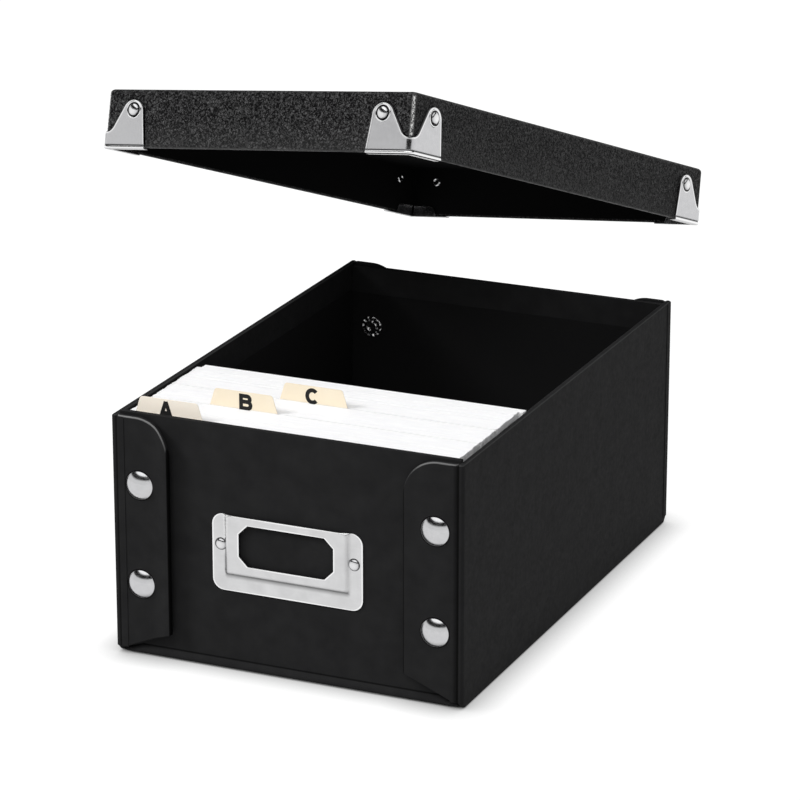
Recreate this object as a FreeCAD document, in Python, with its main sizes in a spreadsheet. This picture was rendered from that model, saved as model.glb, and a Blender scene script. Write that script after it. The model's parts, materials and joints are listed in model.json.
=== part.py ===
import FreeCAD, Part
import math
import os
from types import SimpleNamespace

import Sketcher

# A desk drawer box for 4 x 6 inch index cards, with a loose tray lid. It is made of covered boards:
# two side panels whose ends fold round the corners as flaps, and snap to the front and back panels.
# Row frame: +Z up, the front faces -Y, and the origin is the middle of the underside of the box.

SIZES = {
    # the cards that the box is made to fit, standing on edge, and the room round them
    "card_width": 152.4,
    "card_height": 101.6,
    "card_side_room": 2.4,
    "card_top_room": 1.3,
    "card_rest_gap": 0.1,
    # the box and its boards
    "box_depth": 247.0,
    "board_thickness": 2.4,
    "front_panel_extra_height": 1.0,
    "back_panel_short_height": 0.8,
    "floor_board_thickness": 3.0,
    "floor_clearance": 0.3,
    # the four flaps, which turn about the rounded ends of the side panels
    "flap_width": 27.0,
    "flap_gap": 0.8,
    "flap_hinge_gap": 0.3,
    "flap_corner_radius": 16.0,
    "flap_crease_bottom_height": 2.0,
    "flap_edge_bottom_height": 12.0,
    # the snaps that hold a flap to its panel
    "snap_inset": 12.5,
    "lower_snap_height": 33.0,
    "upper_snap_depth": 30.4,
    "cap_diameter": 12.6,
    "cap_dome_height": 2.3,
    "socket_diameter": 10.4,
    "socket_clearance": 0.05,
    "nub_diameter": 4.8,
    "nub_clearance": 0.65,
    "nub_length": 2.6,
    "stud_flange_diameter": 9.0,
    "stud_flange_thickness": 0.6,
    "post_diameter": 3.0,
    "post_flange_diameter": 9.6,
    "post_flange_thickness": 0.8,
    "shank_clearance": 0.05,
    # the label holder on the front panel
    "holder_width": 70.0,
    "holder_height": 33.0,
    "holder_shift_x": 0.5,
    "holder_drop_height": 0.5,
    "holder_thickness": 0.8,
    "holder_corner_radius": 5.0,
    "holder_foot_height": 6.3,
    "holder_slot_depth": 1.4,
    "window_width": 44.0,
    "window_height": 18.6,
    "window_chamfer": 4.2,
    "window_offset_height": 3.7,
    "holder_rivet_inset": 4.0,
    "holder_rivet_offset_height": 2.7,
    "holder_rivet_head_diameter": 5.7,
    "holder_rivet_clearance": 0.15,
    # rivets
    "rivet_dome_height": 1.4,
    "rivet_shank_diameter": 2.8,
    "rivet_tail_diameter": 4.8,
    "rivet_tail_height": 0.8,
    # the lid
    "lid_clearance": 1.35,
    "lid_height": 27.0,
    "lid_board_thickness": 2.4,
    "lid_edge_radius": 1.0,
    "bracket_thickness": 0.7,
    "bracket_leg_length": 23.0,
    "lobe_inset": 15.2,
    "lobe_height": 16.4,
    "lobe_radius": 5.8,
    "valley_height": 7.0,
    "valley_radius": 5.5,
    "lid_rivet_inset": 15.4,
    "lid_rivet_height": 17.4,
    "lid_rivet_head_diameter": 6.4,
    # how the lid is held off the box: level above it, then swung about one slanting axis
    "lid_hover_height": 27.0,
    "lid_axis_x": 394.2,
    "lid_axis_y": 272.5,
    "lid_axis_heading_angle": 15.42,
    "lid_axis_rise_angle": 26.51,
    "lid_swing_angle": 24.5,
    # the stack of cards and tabbed dividers
    "card_shift_x": -1.5,
    "stack_front_gap": 1.1,
    "stack_gap": 0.3,
    "divider_thickness": 0.4,
    "front_pack_thickness": 1.8,
    "pack_a_thickness": 21.2,
    "pack_b_thickness": 17.6,
    "pack_c_thickness": 28.7,
    "tab_height": 8.0,
    "tab_base_width": 32.0,
    "tab_slant_width": 2.5,
    "tab_corner_radius": 1.5,
    "tab_pitch": 24.3,
    "first_tab_inset": 3.5,
}

TOUCHING = 1e-6
LEFT, RIGHT = -1, 1
FRONT, BACK = -1, 1
SIDE_NAMES = {LEFT: "left", RIGHT: "right"}
END_NAMES = {FRONT: "front", BACK: "back"}


class Size:
    """A length that carries its number and the sheet expression that it comes from."""

    def __init__(self, number, text):
        self.number = number
        self.text = text

    def combine(self, other, sign, number):
        return Size(number, f"({self.text} {sign} {as_size(other).text})")

    def __add__(self, other):
        return self.combine(other, "+", self.number + as_size(other).number)

    def __sub__(self, other):
        return self.combine(other, "-", self.number - as_size(other).number)

    def __mul__(self, other):
        return self.combine(other, "*", self.number * as_size(other).number)

    def __truediv__(self, other):
        return self.combine(other, "/", self.number / as_size(other).number)

    def __neg__(self):
        return self * -1


def as_size(value):
    return value if isinstance(value, Size) else Size(float(value), f"({value})")


def root(value):
    return Size(math.sqrt(value.number), f"sqrt({value.text})")


doc = FreeCAD.newDocument("index_card_drawer")
sheet = doc.addObject("Spreadsheet::Sheet", "Sizes")
for row, (alias, value) in enumerate(SIZES.items(), start=1):
    sheet.set(f"A{row}", alias)
    sheet.set(f"B{row}", str(value))
    sheet.setAlias(f"B{row}", alias)
doc.recompute()
size = SimpleNamespace(**{alias: Size(float(sheet.get(alias)), f"Sizes.{alias}") for alias in SIZES})

nodes = []


def node(thing, label):
    """Labels a finished sub-part with its node name and keeps it for the export."""
    thing.Label = label
    nodes.append(thing)
    return thing


def bind(thing, name, value):
    thing.setExpression(name, as_size(value).text)


# ---------------------------------------------------------------- sketches


def fix_point(sketch, geometry, position, x, y):
    """Ties one point of a sketch to its coordinates in the sheet."""
    for kind, value in (("DistanceX", x), ("DistanceY", y)):
        value = as_size(value)
        index = sketch.addConstraint(Sketcher.Constraint(kind, -1, 1, geometry, position, value.number))
        sketch.setExpression(f"Constraints[{index}]", value.text)


def arc_through(here, there, radius):
    """The short arc from here to there. A positive radius turns left, and a negative one right."""
    x1, y1 = (as_size(v).number for v in here)
    x2, y2 = (as_size(v).number for v in there)
    reach = math.hypot(x2 - x1, y2 - y1) / 2
    turn = 1 if radius > 0 else -1
    away = turn * math.sqrt(max(radius**2 - reach**2, 0)) / (2 * reach)
    middle_x = (x1 + x2) / 2 - (y2 - y1) * away
    middle_y = (y1 + y2) / 2 + (x2 - x1) * away
    first = math.atan2(y1 - middle_y, x1 - middle_x)
    last = math.atan2(y2 - middle_y, x2 - middle_x)
    if turn < 0:
        first, last = last, first
    circle = Part.Circle(FreeCAD.Vector(middle_x, middle_y, 0), FreeCAD.Vector(0, 0, 1), abs(radius))
    return Part.ArcOfCircle(circle, first, last)


def draw_outline(sketch, start, steps):
    """Draws a closed outline. A step is the next point, with a radius where an arc leads there."""
    here = start
    last_end = None
    first_start = None
    for step in steps:
        there = step[:2]
        if len(step) == 3:
            radius = as_size(step[2])
            index = sketch.addGeometry(arc_through(here, there, radius.number))
            start_point, end_point = (1, 2) if radius.number > 0 else (2, 1)
            width = sketch.addConstraint(Sketcher.Constraint("Radius", index, abs(radius.number)))
            sketch.setExpression(f"Constraints[{width}]", f"abs({radius.text})")
        else:
            ends = [FreeCAD.Vector(as_size(p[0]).number, as_size(p[1]).number, 0) for p in (here, there)]
            index = sketch.addGeometry(Part.LineSegment(*ends))
            start_point, end_point = 1, 2
        if last_end:
            sketch.addConstraint(Sketcher.Constraint("Coincident", *last_end, index, start_point))
        else:
            first_start = (index, start_point)
        fix_point(sketch, index, end_point, *there)
        last_end = (index, end_point)
        here = there
    sketch.addConstraint(Sketcher.Constraint("Coincident", *last_end, *first_start))


def draw_rectangle(sketch, left, bottom, right, top):
    draw_outline(sketch, (left, bottom), [(right, bottom), (right, top), (left, top), (left, bottom)])


def draw_round_rectangle(sketch, left, bottom, right, top, radius):
    steps = [
        (right - radius, bottom),
        (right, bottom + radius, radius),
        (right, top - radius),
        (right - radius, top, radius),
        (left + radius, top),
        (left, top - radius, radius),
        (left, bottom + radius),
        (left + radius, bottom, radius),
    ]
    draw_outline(sketch, (left + radius, bottom), steps)


def draw_hole(sketch, x, y, radius):
    x, y, radius = as_size(x), as_size(y), as_size(radius)
    middle = FreeCAD.Vector(x.number, y.number, 0)
    index = sketch.addGeometry(Part.Circle(middle, FreeCAD.Vector(0, 0, 1), radius.number))
    width = sketch.addConstraint(Sketcher.Constraint("Radius", index, radius.number))
    sketch.setExpression(f"Constraints[{width}]", radius.text)
    fix_point(sketch, index, 3, x, y)


# ---------------------------------------------------------------- solids

NORMALS = {"XY_Plane": 1, "XZ_Plane": -1, "YZ_Plane": 1}


def new_body(label):
    return node(doc.addObject("PartDesign::Body", label), label)


def new_sketch(body, plane, level):
    """A sketch on a plane of the body, at that level along the row axis across the plane."""
    sketch = body.newObject("Sketcher::SketchObject", f"{body.Name}_sketch")
    support = next(part for part in body.Origin.OriginFeatures if part.Role == plane)
    sketch.AttachmentSupport = [(support, "")]
    sketch.MapMode = "FlatFace"
    bind(sketch, "AttachmentOffset.Base.z", as_size(level) * NORMALS[plane])
    return sketch


def pad(body, sketch, thickness):
    """Thickens a sketch: upwards on XY, towards the front on XZ and towards the right on YZ."""
    feature = body.newObject("PartDesign::Pad", f"{body.Name}_pad")
    feature.Profile = sketch
    bind(feature, "Length", thickness)
    sketch.Visibility = False
    return feature


def pocket(body, sketch, depth):
    """Cuts a sketch away, in the direction in which pad() would add."""
    feature = body.newObject("PartDesign::Pocket", f"{body.Name}_pocket")
    feature.Profile = sketch
    feature.Reversed = True
    bind(feature, "Length", depth)
    return feature


def round_edges(body, feature, radius, chosen):
    """Rounds the feature's edges whose middle point chosen() accepts."""
    doc.recompute()
    names = []
    for index, edge in enumerate(feature.Shape.Edges, start=1):
        middle = edge.valueAt((edge.FirstParameter + edge.LastParameter) / 2)
        if chosen(middle, edge):
            names.append(f"Edge{index}")
    fillet = body.newObject("PartDesign::Fillet", f"{body.Name}_rounding")
    fillet.Base = (feature, names)
    bind(fillet, "Radius", radius)
    body.Tip = fillet


def place(thing, base, towards):
    """Puts a primitive's base at a point, with its own Z along a direction."""
    turn = FreeCAD.Rotation(FreeCAD.Vector(0, 0, 1), FreeCAD.Vector(*towards))
    thing.Placement = FreeCAD.Placement(FreeCAD.Vector(0, 0, 0), turn)
    for axis, value in zip("xyz", base):
        bind(thing, f"Placement.Base.{axis}", value)


def rod(name, base, towards, radius, length):
    thing = doc.addObject("Part::Cylinder", name)
    bind(thing, "Radius", radius)
    bind(thing, "Height", length)
    place(thing, base, towards)
    return thing


def dome(name, base, towards, radius, height):
    """Half an ellipsoid with its flat side on the base."""
    thing = doc.addObject("Part::Ellipsoid", name)
    bind(thing, "Radius1", height)
    bind(thing, "Radius2", radius)
    bind(thing, "Radius3", radius)
    thing.Angle1 = 0
    place(thing, base, towards)
    return thing


def fused(name, pieces):
    thing = doc.addObject("Part::MultiFuse", name)
    thing.Shapes = pieces
    return thing


def ring(name, base, towards, radius, bore, length):
    thing = doc.addObject("Part::Cut", name)
    thing.Base = rod(f"{name}_outside", base, towards, radius, length)
    thing.Tool = rod(f"{name}_bore", base, towards, bore, length)
    return thing


def group(label, pieces):
    """Several like pieces, each its own solid, in one node."""
    thing = doc.addObject("Part::Compound", label)
    thing.Links = pieces
    return node(thing, label)


def shifted(base, towards, distance):
    """A point moved along a direction that lies on one row axis."""
    return [as_size(v) + as_size(distance) * t if t else v for v, t in zip(base, towards)]


def rivet(name, base, towards, head, grip):
    """A domed rivet whose head sits on the base, and whose tail clenches what it grips behind."""
    inward = [-t for t in towards]
    tail_base = shifted(base, inward, grip)
    pieces = [
        dome(f"{name}_head", base, towards, head / 2, size.rivet_dome_height),
        rod(f"{name}_shank", base, inward, size.rivet_shank_diameter / 2, grip),
        rod(f"{name}_tail", tail_base, inward, size.rivet_tail_diameter / 2, size.rivet_tail_height),
    ]
    return fused(name, pieces)


# ---------------------------------------------------------------- places shared by the sub-parts

box_width = size.card_width + (size.card_side_room + size.board_thickness) * 2
half_width = box_width / 2
half_depth = size.box_depth / 2
inside_half_width = half_width - size.board_thickness
crease_radius = size.board_thickness / 2
crease_x = half_width - crease_radius
crease_y = half_depth - crease_radius
panel_face = half_depth - size.board_thickness - size.flap_gap
panel_inside = panel_face - size.board_thickness
floor_top = size.board_thickness + size.floor_board_thickness
card_bottom = floor_top + size.card_rest_gap
card_top = card_bottom + size.card_height
box_height = card_top + size.card_top_room
front_panel_height = box_height + size.front_panel_extra_height
back_panel_height = box_height - size.back_panel_short_height
panel_heights = {FRONT: front_panel_height, BACK: back_panel_height}
snap_x = half_width - size.snap_inset
snap_levels = (size.lower_snap_height, box_height - size.upper_snap_depth)
snap_places = [(side, level) for side in (LEFT, RIGHT) for level in snap_levels]
holder_x = size.holder_shift_x
holder_z = box_height / 2 - size.holder_drop_height
holder_rivet_x = size.holder_width / 2 - size.holder_rivet_inset
holder_rivet_z = holder_z + size.holder_rivet_offset_height
lid_half_width = half_width + size.lid_clearance + size.lid_board_thickness
lid_half_depth = half_depth + size.lid_clearance + size.lid_board_thickness
lid_bottom = front_panel_height + size.lid_board_thickness - size.lid_height
lid_rim_height = size.lid_height - size.lid_board_thickness
lid_rivet_z = lid_bottom + size.lid_rivet_height
lid_shank_hole = size.rivet_shank_diameter / 2 + size.shank_clearance

# ---------------------------------------------------------------- the box


def make_bottom():
    body = new_body("bottom_panel")
    sketch = new_sketch(body, "XY_Plane", 0)
    draw_rectangle(sketch, -inside_half_width, -panel_inside, inside_half_width, panel_inside)
    pad(body, sketch, size.board_thickness)


def make_floor_board():
    body = new_body("floor_board")
    sketch = new_sketch(body, "XY_Plane", size.board_thickness)
    x = inside_half_width - size.floor_clearance
    y = panel_inside - size.floor_clearance
    draw_rectangle(sketch, -x, -y, x, y)
    pad(body, sketch, size.floor_board_thickness)


def make_side_panel(side):
    """A side panel, whose rounded ends are the creases that the flaps turn about."""
    body = new_body(f"{SIDE_NAMES[side]}_side_panel")
    sketch = new_sketch(body, "XY_Plane", 0)
    outer, middle, inner = half_width * side, crease_x * side, inside_half_width * side
    turn = crease_radius * side
    steps = [
        (outer, crease_y),
        (middle, half_depth, turn),
        (inner, crease_y, turn),
        (inner, -crease_y),
        (middle, -half_depth, turn),
        (outer, -crease_y, turn),
    ]
    draw_outline(sketch, (outer, -crease_y), steps)
    pad(body, sketch, box_height)


def make_end_panel(end):
    """The front or back panel, with the holes for its snap posts and the label holder's rivets."""
    body = new_body(f"{END_NAMES[end]}_panel")
    rear_face = -panel_inside if end == FRONT else panel_face
    sketch = new_sketch(body, "XZ_Plane", rear_face)
    draw_rectangle(sketch, -inside_half_width, 0, inside_half_width, panel_heights[end])
    for side, level in snap_places:
        draw_hole(sketch, snap_x * side, level, size.post_diameter / 2 + size.shank_clearance)
    if end == FRONT:
        for side in (LEFT, RIGHT):
            x = holder_x + holder_rivet_x * side
            draw_hole(sketch, x, holder_rivet_z, lid_shank_hole)
    pad(body, sketch, size.board_thickness)


def make_snap_studs(end):
    """The male halves of the snaps, on the outer face of an end panel."""
    outward = (0, end, 0)
    flange_radius = size.stud_flange_diameter / 2
    studs = []
    for number, (side, level) in enumerate(snap_places, start=1):
        name = f"{END_NAMES[end]}_stud_{number}"
        base = (snap_x * side, panel_face * end, level)
        flange = rod(f"{name}_flange", base, outward, flange_radius, size.stud_flange_thickness)
        nub = rod(f"{name}_nub", base, outward, size.nub_diameter / 2, size.nub_length)
        studs.append(fused(name, [flange, nub]))
    group(f"{END_NAMES[end]}_snap_studs", studs)


def make_snap_posts(end):
    """The posts that clench the studs from inside the box: a flange, and a barrel through the board."""
    outward = (0, end, 0)
    inward = (0, -end, 0)
    flange_radius = size.post_flange_diameter / 2
    posts = []
    for number, (side, level) in enumerate(snap_places, start=1):
        name = f"{END_NAMES[end]}_post_{number}"
        base = (snap_x * side, panel_inside * end, level)
        flange = rod(f"{name}_flange", base, inward, flange_radius, size.post_flange_thickness)
        barrel = rod(f"{name}_barrel", base, outward, size.post_diameter / 2, size.board_thickness)
        posts.append(fused(name, [flange, barrel]))
    group(f"{END_NAMES[end]}_snap_posts", posts)


def make_label_holder():
    """A pressed steel label holder: a flat plate with a raised slot that is open at the top."""
    body = new_body("label_holder")
    left = holder_x - size.holder_width / 2
    right = holder_x + size.holder_width / 2
    low = holder_z - size.holder_height / 2
    high = holder_z + size.holder_height / 2
    step_inset = size.holder_rivet_inset + size.holder_rivet_head_diameter / 2 + size.holder_rivet_clearance
    step_left, step_right = left + step_inset, right - step_inset
    step_low = low + size.holder_foot_height
    plate = new_sketch(body, "XZ_Plane", -panel_face)
    draw_round_rectangle(plate, left, low, right, high, size.holder_corner_radius)
    for side in (LEFT, RIGHT):
        x = holder_x + holder_rivet_x * side
        draw_hole(plate, x, holder_rivet_z, lid_shank_hole)
    pad(body, plate, size.holder_thickness)
    raised = new_sketch(body, "XZ_Plane", -panel_face)
    draw_rectangle(raised, step_left, step_low, step_right, high)
    pad(body, raised, size.holder_slot_depth + size.holder_thickness)
    hollow = new_sketch(body, "XZ_Plane", -panel_face)
    wall = size.holder_thickness
    draw_rectangle(hollow, step_left + wall, step_low + wall, step_right - wall, high)
    pocket(body, hollow, size.holder_slot_depth)
    window = new_sketch(body, "XZ_Plane", -panel_face)
    middle_z = holder_z + size.window_offset_height
    x1 = holder_x - size.window_width / 2
    x2 = holder_x + size.window_width / 2
    z1, z2 = middle_z - size.window_height / 2, middle_z + size.window_height / 2
    cut = size.window_chamfer
    corners = [
        (x2 - cut, z1),
        (x2, z1 + cut),
        (x2, z2 - cut),
        (x2 - cut, z2),
        (x1 + cut, z2),
        (x1, z2 - cut),
        (x1, z1 + cut),
        (x1 + cut, z1),
    ]
    draw_outline(window, (x1 + cut, z1), corners)
    body.Tip = pocket(body, window, size.holder_slot_depth + size.holder_thickness)


def make_holder_rivets():
    outward = (0, FRONT, 0)
    rivets = []
    for side in (LEFT, RIGHT):
        x = holder_x + holder_rivet_x * side
        base = (x, -(panel_face + size.holder_thickness), holder_rivet_z)
        grip = size.holder_thickness + size.board_thickness
        name = f"holder_rivet_{SIDE_NAMES[side]}"
        rivets.append(rivet(name, base, outward, size.holder_rivet_head_diameter, grip))
    group("label_holder_rivets", rivets)


# ---------------------------------------------------------------- the flaps


def make_flap(end, side):
    """A flap that folds from a side panel's end across the face of the front or back panel."""
    corner = f"{END_NAMES[end]}_{SIDE_NAMES[side]}"
    body = new_body(f"{corner}_flap")
    rear_face = -(half_depth - size.board_thickness) if end == FRONT else half_depth
    sketch = new_sketch(body, "XZ_Plane", rear_face)
    crease = (crease_x - crease_radius - size.flap_hinge_gap) * side
    edge = (half_width - size.flap_width) * side
    bend = size.flap_corner_radius * side
    steps = [
        (edge, size.flap_edge_bottom_height),
        (edge, box_height - size.flap_corner_radius),
        (edge + bend, box_height, -bend),
        (crease, box_height),
        (crease, size.flap_crease_bottom_height),
    ]
    draw_outline(sketch, (crease, size.flap_crease_bottom_height), steps)
    for level in snap_levels:
        draw_hole(sketch, snap_x * side, level, size.socket_diameter / 2 + size.socket_clearance)
    pad(body, sketch, size.board_thickness)


def make_snap_caps(end, side):
    corner = f"{END_NAMES[end]}_{SIDE_NAMES[side]}"
    outward = (0, end, 0)
    radius = size.cap_diameter / 2
    caps = []
    for number, level in enumerate(snap_levels, start=1):
        base = (snap_x * side, half_depth * end, level)
        caps.append(dome(f"{corner}_cap_{number}", base, outward, radius, size.cap_dome_height))
    group(f"{corner}_snap_caps", caps)


def make_snap_sockets(end, side):
    """The female halves of the snaps: rings set into the flap, which the studs' nubs enter."""
    corner = f"{END_NAMES[end]}_{SIDE_NAMES[side]}"
    outward = (0, end, 0)
    bore = size.nub_diameter / 2 + size.nub_clearance
    sockets = []
    for number, level in enumerate(snap_levels, start=1):
        base = (snap_x * side, (half_depth - size.board_thickness) * end, level)
        name = f"{corner}_socket_{number}"
        sockets.append(ring(name, base, outward, size.socket_diameter / 2, bore, size.board_thickness))
    group(f"{corner}_snap_sockets", sockets)


# ---------------------------------------------------------------- the lid, made level and closed


def make_lid_top():
    body = new_body("lid_top_panel")
    level = lid_bottom + lid_rim_height
    sketch = new_sketch(body, "XY_Plane", level)
    draw_rectangle(sketch, -lid_half_width, -lid_half_depth, lid_half_width, lid_half_depth)
    top = (level + size.lid_board_thickness).number

    def at_top(middle, edge):
        return abs(middle.z - top) < TOUCHING

    round_edges(body, pad(body, sketch, size.lid_board_thickness), size.lid_edge_radius, at_top)


def make_lid_end_rim(end):
    body = new_body(f"lid_{END_NAMES[end]}_rim")
    rear_face = -(lid_half_depth - size.lid_board_thickness) if end == FRONT else lid_half_depth
    sketch = new_sketch(body, "XZ_Plane", rear_face)
    draw_rectangle(sketch, -lid_half_width, lid_bottom, lid_half_width, lid_bottom + lid_rim_height)
    for side in (LEFT, RIGHT):
        draw_hole(sketch, (lid_half_width - size.lid_rivet_inset) * side, lid_rivet_z, lid_shank_hole)
    pad(body, sketch, size.lid_board_thickness)


def make_lid_side_rim(side):
    body = new_body(f"lid_{SIDE_NAMES[side]}_rim")
    left_face = -lid_half_width if side == LEFT else lid_half_width - size.lid_board_thickness
    sketch = new_sketch(body, "YZ_Plane", left_face)
    y = lid_half_depth - size.lid_board_thickness
    draw_rectangle(sketch, -y, lid_bottom, y, lid_bottom + lid_rim_height)
    for end in (FRONT, BACK):
        draw_hole(sketch, (lid_half_depth - size.lid_rivet_inset) * end, lid_rivet_z, lid_shank_hole)
    pad(body, sketch, size.lid_board_thickness)


def draw_bracket_leg(sketch, corner, sign, reach):
    """One leg of a corner bracket: a rounded lobe that sweeps down to a valley at the corner.

    The corner is where the lid's own corner is across the sketch, sign is the direction away from
    the middle of the lid, and reach is how far the leg runs past the corner.
    """
    radii = size.lobe_radius + size.valley_radius
    across = -size.lobe_inset
    up = size.valley_height + size.valley_radius - size.lobe_height
    apart = across * across + up * up
    along = radii / apart
    aside = root(apart - radii * radii) / apart
    unit_x = along * across + aside * up
    unit_z = along * up - aside * across
    lobe_x = size.lobe_inset + size.lobe_radius * unit_x
    lobe_z = size.lobe_height + size.lobe_radius * unit_z
    valley_x = -size.valley_radius * unit_x
    valley_z = size.valley_height + size.valley_radius - size.valley_radius * unit_z

    def at(inset, height):
        return corner - as_size(inset) * sign, lid_bottom + height

    turn = -sign
    start = at(-reach, 0)
    steps = [
        at(size.bracket_leg_length, 0),
        at(size.lobe_inset + size.lobe_radius, size.lobe_height),
        (*at(lobe_x, lobe_z), size.lobe_radius * turn),
        at(valley_x, valley_z),
        (*at(0, size.valley_height), -size.valley_radius * turn),
    ]
    if reach.number:
        steps.append(at(-reach, size.valley_height))
    draw_outline(sketch, start, [*steps, start])


def make_lid_bracket(end, side):
    """A sheet metal corner: a leg on each face of the lid, and a lip under the edge of the rims."""
    body = new_body(f"lid_{END_NAMES[end]}_{SIDE_NAMES[side]}_bracket")
    metal = size.bracket_thickness
    corner_x, corner_y = lid_half_width * side, lid_half_depth * end
    face_y = -lid_half_depth if end == FRONT else lid_half_depth + metal
    on_end = new_sketch(body, "XZ_Plane", face_y)
    draw_bracket_leg(on_end, corner_x, side, metal)
    draw_hole(on_end, corner_x - size.lid_rivet_inset * side, lid_rivet_z, lid_shank_hole)
    pad(body, on_end, metal)
    face_x = -(lid_half_width + metal) if side == LEFT else lid_half_width
    on_side = new_sketch(body, "YZ_Plane", face_x)
    draw_bracket_leg(on_side, corner_y, end, as_size(0))
    draw_hole(on_side, corner_y - size.lid_rivet_inset * end, lid_rivet_z, lid_shank_hole)
    pad(body, on_side, metal)
    lip = new_sketch(body, "XY_Plane", lid_bottom - metal)
    outer_x, outer_y = corner_x + metal * side, corner_y + metal * end
    inner_x, inner_y = corner_x - size.lid_board_thickness * side, corner_y - size.lid_board_thickness * end
    far_x, far_y = corner_x - size.bracket_leg_length * side, corner_y - size.bracket_leg_length * end
    steps = [
        (outer_x, outer_y),
        (outer_x, far_y),
        (inner_x, far_y),
        (inner_x, inner_y),
        (far_x, inner_y),
        (far_x, outer_y),
    ]
    draw_outline(lip, (far_x, outer_y), steps)
    body.Tip = pad(body, lip, metal)


def make_lid_rivets():
    grip = size.bracket_thickness + size.lid_board_thickness
    rivets = []
    for end in (FRONT, BACK):
        for side in (LEFT, RIGHT):
            corner = f"{END_NAMES[end]}_{SIDE_NAMES[side]}"
            along_x = (lid_half_width - size.lid_rivet_inset) * side
            along_y = (lid_half_depth - size.lid_rivet_inset) * end
            on_end = (along_x, (lid_half_depth + size.bracket_thickness) * end, lid_rivet_z)
            on_side = ((lid_half_width + size.bracket_thickness) * side, along_y, lid_rivet_z)
            head = size.lid_rivet_head_diameter
            rivets.append(rivet(f"lid_rivet_end_{corner}", on_end, (0, end, 0), head, grip))
            rivets.append(rivet(f"lid_rivet_side_{corner}", on_side, (side, 0, 0), head, grip))
    group("lid_rivets", rivets)


def lid_placement():
    """Lifts the closed lid level above the box, and swings it to where it is held."""
    heading = math.radians(size.lid_axis_heading_angle.number)
    rise = math.radians(size.lid_axis_rise_angle.number)
    flat = math.cos(rise)
    axis = FreeCAD.Vector(-flat * math.cos(heading), -flat * math.sin(heading), -math.sin(rise))
    pivot = FreeCAD.Vector(size.lid_axis_x.number, size.lid_axis_y.number, 0)
    swing = FreeCAD.Placement(
        FreeCAD.Vector(0, 0, 0), FreeCAD.Rotation(axis, size.lid_swing_angle.number), pivot
    )
    lift = FreeCAD.Placement(FreeCAD.Vector(0, 0, size.lid_hover_height.number), FreeCAD.Rotation())
    return swing.multiply(lift)


# ---------------------------------------------------------------- the cards


def make_divider(letter, position, front_face):
    """A card with a tab on its top edge. The tabs step across from left to right."""
    body = new_body(f"divider_{letter}")
    sketch = new_sketch(body, "XZ_Plane", front_face + size.divider_thickness)
    left = size.card_shift_x - size.card_width / 2
    right = size.card_shift_x + size.card_width / 2
    low, high = card_bottom, card_top
    base_left = left + size.first_tab_inset + size.tab_pitch * position
    base_right = base_left + size.tab_base_width
    tab_top = high + size.tab_height
    steps = [
        (right, low),
        (right, high),
        (base_right, high),
        (base_right - size.tab_slant_width, tab_top),
        (base_left + size.tab_slant_width, tab_top),
        (base_left, high),
        (left, high),
        (left, low),
    ]
    draw_outline(sketch, (left, low), steps)
    top = tab_top.number

    def at_tab_corner(middle, edge):
        return abs(middle.z - top) < TOUCHING and edge.Length < size.divider_thickness.number + TOUCHING

    round_edges(body, pad(body, sketch, size.divider_thickness), size.tab_corner_radius, at_tab_corner)


def make_pack(label, front_face, thickness):
    """A pack of loose cards, as one block."""
    block = node(doc.addObject("Part::Box", label), label)
    bind(block, "Length", size.card_width)
    bind(block, "Width", thickness)
    bind(block, "Height", size.card_height)
    base = (size.card_shift_x - size.card_width / 2, front_face, card_bottom)
    place(block, base, (0, 0, 1))


def make_stack():
    """The packs and dividers stand one behind the other, from the front panel backwards."""
    front_face = size.stack_front_gap - panel_inside
    make_pack("cards_front", front_face, size.front_pack_thickness)
    front_face = front_face + size.front_pack_thickness + size.stack_gap
    for position, (letter, thickness) in enumerate(
        (("a", size.pack_a_thickness), ("b", size.pack_b_thickness), ("c", size.pack_c_thickness))
    ):
        make_divider(letter, position, front_face)
        front_face = front_face + size.divider_thickness + size.stack_gap
        make_pack(f"cards_behind_{letter}", front_face, thickness)
        front_face = front_face + thickness + size.stack_gap


# ---------------------------------------------------------------- the whole part

make_bottom()
make_floor_board()
for panel_side in (LEFT, RIGHT):
    make_side_panel(panel_side)
for panel_end in (FRONT, BACK):
    make_end_panel(panel_end)
    make_snap_studs(panel_end)
    make_snap_posts(panel_end)
    for panel_side in (LEFT, RIGHT):
        make_flap(panel_end, panel_side)
        make_snap_caps(panel_end, panel_side)
        make_snap_sockets(panel_end, panel_side)
make_label_holder()
make_holder_rivets()
make_stack()

first_lid_node = len(nodes)
make_lid_top()
for rim_end in (FRONT, BACK):
    make_lid_end_rim(rim_end)
for rim_side in (LEFT, RIGHT):
    make_lid_side_rim(rim_side)
for rim_end in (FRONT, BACK):
    for rim_side in (LEFT, RIGHT):
        make_lid_bracket(rim_end, rim_side)
make_lid_rivets()
for lid_node in nodes[first_lid_node:]:
    lid_node.Placement = lid_placement()

doc.recompute()

for thing in doc.Objects:
    if "Invalid" in thing.State or "Error" in thing.State:
        raise RuntimeError(f"{thing.Label} failed to build: {thing.State}")
os.makedirs("parts", exist_ok=True)
for sub_part in nodes:
    if sub_part.Shape.isNull() or not sub_part.Shape.isValid():
        raise RuntimeError(f"{sub_part.Label} has no valid shape")
for sub_part in nodes:
    sub_part.Shape.exportStep(f"parts/{sub_part.Label}.step")
print(f"{len(nodes)} nodes written")
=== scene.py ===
import json
import random
from math import acos, atan2, cos, degrees, hypot, pi, radians, sin, sqrt

import bmesh
import bpy
from mathutils import Matrix, Vector


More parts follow.
